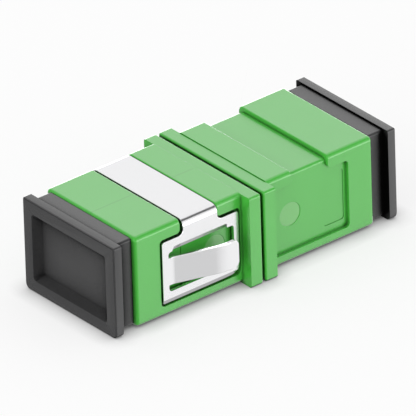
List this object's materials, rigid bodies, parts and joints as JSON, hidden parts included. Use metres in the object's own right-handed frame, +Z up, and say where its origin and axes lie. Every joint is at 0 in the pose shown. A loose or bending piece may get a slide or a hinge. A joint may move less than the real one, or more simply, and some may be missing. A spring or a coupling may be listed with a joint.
{
  "type": "fibre optic adapter",
  "caption": "Simplex fibre optic adapter: rectangular green plastic body with a port at each end, a narrow double flange, a bright spring clip over the front half and black dust caps.",
  "frame": {"origin": "middle of the plane between the two housing halves, on the face that the adapter lies on", "axes": "+X along the bore from the clip's half to the other half, +Y across the body, +Z up"},
  "size_m": [0.0336, 0.0162, 0.0095],
  "materials": {
    "housing_green": "satin",
    "clip_steel": "bright",
    "holder_white": "matte",
    "sleeve_ceramic": "ground",
    "cap_black": "matte"
  },
  "bodies": {
    "adapter": {"front_housing": "housing_green", "rear_housing": "housing_green", "mounting_clip": "clip_steel", "front_latch_holder": "holder_white", "rear_latch_holder": "holder_white", "split_sleeve": "sleeve_ceramic"},
    "front_cap": {"front_dust_cap": "cap_black"},
    "rear_cap": {"rear_dust_cap": "cap_black"}
  },
  "joints": [
    {"name": "front_cap_pull", "type": "slide", "parent": "adapter", "child": "front_cap", "axis": [-1, 0, 0], "range_m": [0, 0.014]},
    {"name": "rear_cap_pull", "type": "slide", "parent": "adapter", "child": "rear_cap", "axis": [1, 0, 0], "range_m": [0, 0.014]}
  ]
}
